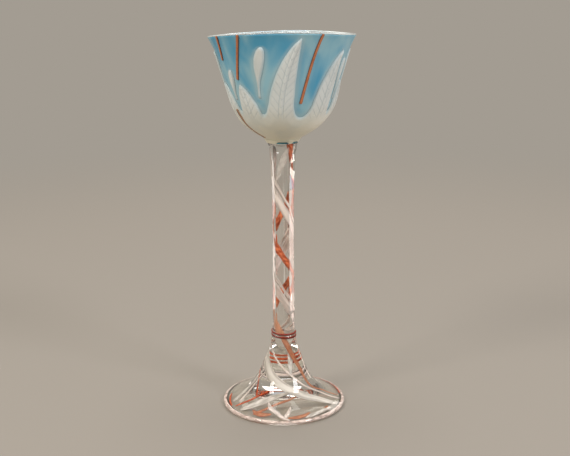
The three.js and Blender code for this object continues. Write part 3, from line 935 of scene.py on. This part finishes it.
def stemReach(angle, height):  # distance from the axis to the stem's face
    share = (height - stemBottom - stem["waistReach"]) / (stemTop - stemBottom - stem["waistReach"])
    share = min(max(share, 0.0), 1.0)
    low = max(1 - share / stem["lowFlareTo"], 0.0) ** stem["lowFlarePower"]
    top = max(share - stem["topFlareFrom"], 0.0) / (1 - stem["topFlareFrom"])
    radius = (stem["midRadius"] + (stem["footRadius"] - stem["midRadius"]) * low
              + (stem["topRadius"] - stem["midRadius"]) * top ** stem["topFlarePower"])
    cut = between(facetLevels, share)
    side = 360 / stem["sides"]
    off = (angle - stem["faceTurn"] + side / 2) % side - side / 2
    flat = radius * cos(radians(side / 2)) / cos(radians(off))
    corner = radius * stem["cornerAt"]
    ease = max(stem["cornerRound"] - abs(flat - corner), 0.0) / stem["cornerRound"]
    flat = min(flat, corner) - ease * ease * stem["cornerRound"] / 4
    uncut = radius * (1 - stem["facetSink"] * cut)
    reach = uncut + (flat - uncut) * cut
    waist = blendStep(stemBottom, stemBottom + stem["waistReach"], height)
    return stem["waistRadius"] + (reach - stem["waistRadius"]) * waist


def caneGlass(name, light, dark, rim, streaks, cover, edgeCover, thinnest=0.72, fade=None):
    # A rod of coloured glass drawn out and twisted in the clear: streaked along its length,
    # with a tone and a clearness of its own at its two edges. It lies inside glass, so it
    # has no shine.
    cane = Surface(name, Roughness=0.6, Specular_IOR_Level=0.0)
    shares = cane.add("UVMap", output="UV", uv_map="strand")
    run = cane.add("Mapping", {"Vector": shares, "Scale": (*streaks, 1.0)})
    streak = cane.add("TexNoise", {"Vector": run, "Scale": 3.0, "Detail": 3.0,
                                   "Distortion": 0.3}, "Fac")
    around = cane.add("SeparateXYZ", [shares], "X")
    phase = cane.add("Math", [around, tau], operation="MULTIPLY")
    across = cane.add("Math", [phase], operation="COSINE")
    side = cane.add("Math", [across], operation="ABSOLUTE")
    body = cane.layered(dark, (cane.add("MapRange", [streak, 0.36, 0.66]), light),
                        (cane.add("MapRange", [side, 0.62, 0.95]), rim))
    edge = cane.add("MapRange", [side, 0.72, 1.0, 1.0, edgeCover / cover])
    veil = cane.add("MapRange", [streak, 0.30, 0.60, cover * thinnest, cover])
    veil = cane.add("Math", [edge, veil], operation="MULTIPLY")
    if fade:
        # Where it was drawn out thin near the joint, the colour is paler and clearer.
        full, pale, colour, kept = fade
        height = cane.add("SeparateXYZ", [cane.add("TexCoord", output="Object")], "Z")
        thin = cane.add("MapRange", [height, pale * mm, full * mm, 1.0, 0.0])
        body = cane.layered(body, (thin, colour))
        clear = cane.add("MapRange", [thin, 0.0, 1.0, 1.0, kept])
        veil = cane.add("Math", [veil, clear], operation="MULTIPLY")
    cane.set(Base_Color=body, Alpha=veil)
    return cane.material


def makeStem(clear, fused, canes):
    top = stemTop - 0.02
    sideBlunt, deepBlunt = stem["strandBlunt"]

    def onStem(around, share):
        angle = 360 * around + stem["faceTurn"]
        height = stemBottom + (top - stemBottom) * share
        return polar(stemReach(angle, height), angle, height)
    bm = wrappedTube(40 * stem["sides"], 150, onStem, capSlot=1)
    finishPiece(bm, "stemGlass", [clear, fused], ["stem_shaft"])
    for name, node, cane, thickness, steps in stemStrands:
        line = curveThrough(steps, 12)
        rows = [(point.x, point.yz) for point in line]
        low = max(steps[0][0], stemBottom + 0.1)
        high = min(steps[-1][0], top - 0.1)

        def inStem(around, share):
            height = low + (high - low) * share
            middle, half = between(rows, height)
            phase = tau * around
            depth = 0.5 - 0.5 * blunted(sin(phase), deepBlunt)
            angle = middle + blunted(cos(phase), sideBlunt) * half
            reach = stemReach(angle, height) - stem["strandTop"] - depth * thickness
            return polar(reach, angle, height)
        bm = wrappedTube(28, 300, inStem)
        finishPiece(bm, name, [canes[cane]],
                    [node] if node else [])


# Thread wound round the joint of stem and foot

jointThread = {
    "turns": 1.9,
    "start": 100,
    "radius": 4.98,
    "thick": 0.34,
    "tall": 0.42,
    "thickest": 320,
    "swell": 0.35,
    "flatten": 0.8,
    "endShare": 0.07,
}


def makeJointThread():
    low, high = nodeBox("joint_thread")
    rise = high.z - low.z - 2 * jointThread["tall"]

    def onWaist(around, share):
        angle = jointThread["start"] + 360 * jointThread["turns"] * share
        middle = high.z - jointThread["tall"] - rise * share
        swell = 1 + jointThread["swell"] * cos(radians(angle - jointThread["thickest"]))
        size = max(roundEnd(min(share, 1 - share) / jointThread["endShare"]), 0.08) * swell
        phase = tau * around
        out = jointThread["radius"] + jointThread["thick"] * size * cos(phase)
        tall = jointThread["tall"] * jointThread["flatten"] * size
        return polar(out, angle, middle + tall * sin(phase))
    # Its darker rim colour is painted shade on the thread's sides and underside.
    ruby = threadGlass("trailedRubyGlass", "a8321c", "6f2416")
    finishPiece(wrappedTube(16, 150, onWaist), "jointThread", [ruby],
                ["joint_thread"])


# Foot

foot = {
    "edgeHeight": 2.1,
    "edgeRound": 0.95,
    "contactOuter": 24.6,
    "contactInner": 23.2,
    "kickHeight": 5.8,
    "neckRadius": 5.2,
    "neckDrop": 2.1,
    "segments": 216,
    "strandTop": 0.12,
    "strandThick": 0.5,
    "strandEnd": 5.0,
    "wispTop": 0.72,
    "wideHalf": 1.6,
    "thinHalf": 0.45,
    "caneHalf": 1.1,
    # Sizes of the milky ring in the rim, which is partly a painted highlight.
    "rimTrailGlintWide": 0.62,
    "rimTrailGlintTall": 0.5,
    "rimTrailGlintWaves": [(2, 0.08, 40), (5, 0.06, 200)],
}
footRadius = nodeBox("foot_bell")[1].x
neckHeight = nodeBox("foot_bell")[1].z - foot["neckDrop"]
# Shares of reach and rise along the curves of the upper face and the hollow
footShares = [(1, 0), (0.83, 0.045), (0.64, 0.115), (0.44, 0.23), (0.27, 0.43),
              (0.135, 0.67), (0.03, 0.87), (0, 1)]
kickShares = [(0, 1), (0.35, 0.86), (0.72, 0.4), (1, 0)]
edgeCentre = (footRadius - foot["edgeRound"], foot["edgeHeight"] - foot["edgeRound"])


def curvedFace(shares, inner, outer, low, high):
    return TurnedFace(curveThrough([(inner + (outer - inner) * out, low + (high - low) * up)
                                    for out, up in shares], 24))


footFace = curvedFace(footShares, foot["neckRadius"], edgeCentre[0], foot["edgeHeight"],
                      neckHeight)
kickFace = curvedFace(kickShares, 0, foot["contactInner"], 0, foot["kickHeight"])
# The upper face with the waist over it, up to the joint, for strands that run on from the stem
waistLine = [(stem["waistRadius"] + 0.06, stemBottom - 0.8), (stem["waistRadius"], stemBottom)]
strandFace = TurnedFace(footFace.outline + [Vector(point) for point in waistLine])
joint = 1 - strandFace.length / footFace.length  # its share of the way, above the neck
# Each strand: name, node, cane, half width, and steps of (share of the way, angle, width as a
# share of the whole). On the upper face the way goes from neck to rim, and on the hollow
# from its middle to the rim.
upperStrands = [
    ("footWhiteBand", "foot_white_band", "band", foot["wideHalf"], [
        (joint, 62, 0.9), (0.03, 118, 0.85), (0.09, 150, 1.1), (0.17, 180, 1.4),
        (0.4, 233, 1.35), (0.54, 272, 1.15), (0.63, 297, 1.1), (0.78, 325, 1.05),
        (0.975, 341, 1.0)]),
    ("footWhiteLine", "foot_white_line", "white", foot["thinHalf"], [
        (joint, 110, 0.9), (0.03, 165, 0.9), (0.09, 201, 0.9), (0.177, 233, 0.9),
        (0.39, 285, 1.1), (0.54, 311, 1.1), (0.71, 339, 1.1), (0.975, 352, 1.1)]),
    ("footOrangeCane", "foot_orange_cane", "orange", foot["caneHalf"], [
        (joint, 262, 1.1), (0.03, 282, 1.05), (0.12, 297, 1), (0.34, 319, 0.8),
        (0.56, 329, 0.55), (0.66, 341, 0.42), (0.75, 352, 0.4), (0.95, 359, 0.4)]),
]
lowerStrands = [
    ("underWhiteBand", "under_white_band", "band", foot["wideHalf"], [
        (0.28, 283, 0.65), (0.39, 254, 0.9), (0.58, 234, 1.1), (0.78, 223, 1.15),
        (0.96, 216.5, 1.0)]),
    ("underRedLine", "under_red_line", "red", foot["thinHalf"], [
        (0.25, 226, 0.9), (0.43, 220, 0.9), (0.6, 215, 0.9), (0.81, 209, 0.9),
        (0.96, 206, 0.9)]),
    ("underOrangeLine", "under_orange_line", "orange", foot["thinHalf"], [
        (0.42, 300, 1), (0.49, 280, 1.1), (0.6, 258, 1.3), (0.79, 243, 1.5), (0.94, 235, 1.9)]),
]
# Wisps that split off the strands while the foot was spun open: the same rows, with no node.
# They lie deeper in the upper face than the strands do.
wisps = [
    ("backRedWisp", None, "red", 0.45, [
        (0.33, 30, 0.7), (0.345, 50, 1), (0.387, 93, 1), (0.415, 140, 0.8), (0.443, 182, 0.8),
        (0.51, 198, 0.8), (0.59, 208, 0.8), (0.715, 223, 0.6)]),
    ("backOrangeWisp", None, "red", 0.5, [
        (0.43, 40, 0.8), (0.447, 75, 1), (0.457, 100, 1), (0.462, 128, 0.6)]),
    ("leftWhiteWisp", None, "white", 0.5, [
        (0.36, 224, 0.7), (0.43, 211, 1), (0.52, 200, 1.2), (0.63, 195, 1.3), (0.75, 199, 1.2),
        (0.88, 205, 1)]),
    ("leftWhiteVeil", None, "veil", 0.9, [
        (0.38, 205, 0.5), (0.50, 188, 1), (0.65, 184, 1.3), (0.80, 190, 1.3), (0.93, 198, 0.8)]),
    ("bellWhiteWisp", None, "band", 1.2, [
        (0.10, 293, 0.5), (0.18, 294, 0.9), (0.27, 292, 1), (0.35, 289, 1), (0.42, 290, 0.7)]),
    ("leftRimWisp", None, "red", 0.42, [(0.93, 176, 1), (0.955, 190, 1), (0.975, 204, 1)]),
    ("backRimWisp", None, "red", 0.38, [
        (0.975, 62, 0.8), (0.985, 45, 1), (0.985, 25, 1), (0.98, 6, 1)]),
    ("frontCleftWisp", None, "white", 0.9, [
        (0.73, 247, 0.5), (0.80, 252, 0.9), (0.88, 263, 1), (0.95, 270, 0.9), (0.985, 276, 0.6)]),
    ("frontCleftBand", None, "white", 1.0, [
        (0.78, 279, 0.4), (0.85, 276, 0.8), (0.92, 272, 1), (0.975, 269, 1)]),
    ("frontLeftPatch", None, "orange", 1.1, [
        (0.885, 232, 0.6), (0.92, 240, 1), (0.915, 249, 1), (0.89, 256, 0.6)]),
    ("frontPatch", None, "orange", 0.9, [
        (0.945, 274, 0.6), (0.945, 283, 1), (0.93, 292, 0.9), (0.90, 300, 0.5)]),
    ("frontRightPatch", None, "orange", 0.7, [(0.915, 319, 0.7), (0.92, 323, 1), (0.91, 327, 0.6)]),
    ("rightArcWhite", None, "band", 0.8, [
        (0.965, 292, 0.7), (0.945, 303, 1), (0.935, 315, 1), (0.95, 328, 0.9)]),
]


def fromNeck(share):  # distance along the upper face, which runs from rim to neck
    return footFace.length * (1 - share)


def fromMiddle(share):  # distance along the hollow's face
    return kickFace.length * share


def layStrands(rows, canes, face, top, alongAt):
    for name, node, cane, half, steps in rows:
        path = [(alongAt(share), angle, width * half) for share, angle, width in steps]
        place = strandPlace(face.place, face.radius, path,
                            -top - foot["strandThick"], -top, endLength=foot["strandEnd"])
        finishPiece(wrappedTube(24, 160, place), name, [canes[cane]],
                    [node] if node else [])


def makeFoot(clear, fused, canes):
    edge = arc(edgeCentre, foot["edgeRound"], foot["edgeRound"], range(75, -61, -15))
    bm = spun([(0, stemBottom), *reversed(waistLine), *reversed(footFace.profile(0, 110)), *edge,
               (foot["contactOuter"], 0), (foot["contactInner"] + 0.15, 0),
               *reversed(kickFace.profile(0, 60))], foot["segments"])
    for face in bm.faces:
        if all(abs(vert.co.z - stemBottom) < 1e-4 for vert in face.verts):
            face.smooth = False
            face.material_index = 1
    finishPiece(bm, "footGlass", [clear, fused], ["foot_bell"])
    layStrands(upperStrands, canes, strandFace, foot["strandTop"], fromNeck)
    layStrands(lowerStrands, canes, kickFace, foot["strandTop"], fromMiddle)
    layStrands(wisps, canes, strandFace, foot["wispTop"], fromNeck)


def makeRimTrailGlint(cane):
    # A milky ring round the rim that keeps its edge pale: partly a trail of milky glass laid in
    # the rim before its edge was melted smooth, partly a painted highlight for the light the
    # edge picks up.
    def inRim(around, share):
        angle, phase = 360 * share, tau * around
        size = 1 + sum(wave * cos(radians(count * angle + turn))
                       for count, wave, turn in foot["rimTrailGlintWaves"])
        return polar(edgeCentre[0] + foot["rimTrailGlintWide"] * size * cos(phase), angle,
                     edgeCentre[1] + foot["rimTrailGlintTall"] * size * sin(phase))
    finishPiece(wrappedTube(16, 240, inRim), "rimTrailGlint", [cane], [])


# Building

setCamera()
setStage()
print("stage: camera, paper sweep and lamps are set")

opal = etchedOpal()
makeBlueLayer()
makeCup()
makeWhiteLayer(opal)
makeWhiteSkirt(opal)
makeThreads()
makeWafer()
print("bowl: blue layer, cup, white relief, threads and wafer are made")

fused = fusedJoint()
canes = {
    "white": caneGlass("drawnWhiteCane", "f4eae3", "d8cac2", "e6dad3", (2.0, 1.6), 0.93, 0.65),
    "veil": caneGlass("milkyVeil", "f2ece6", "ddd4cc", "eae2dc", (2.0, 1.6), 0.50, 0.20),
    "band": caneGlass("drawnWhiteBand", "eae6e0", "cdc5bd", "d9d1c9", (2.0, 1.6), 0.95, 0.80),
    # The rim ring's milky cane is partly a painted highlight for light the rim's edge picks up.
    "rim": caneGlass("rimTrailGlint", "f4e6df", "e6cdc2", "eedfd8", (1.0, 16.0), 0.92, 0.75,
                     thinnest=0.30),
    "red": caneGlass("drawnRedCane", "f07c4e", "b8401f", "c04c2c", (1.5, 5.0), 0.96, 0.80),
    "stemRed": caneGlass("drawnStemCane", "f0905f", "b64a22", "c45f38", (3.0, 14.0), 0.96, 0.80,
                         fade=(47, 37, "dda27e", 0.7)),
    "orange": caneGlass("drawnOrangeCane", "d99a76", "c98058", "b2562e", (1.5, 1.6), 0.72, 0.90),
}
makeStem(clearGlass("facetCutStemGlass", 0.2, 11), fused, canes)
makeJointThread()
makeFoot(clearGlass("blownFootGlass", 0.3, 8), fused, canes)
makeRimTrailGlint(canes["rim"])
print("stem and foot: clear glass, strands and the joint's thread are made")

bpy.context.scene.view_settings.view_transform = "Standard"
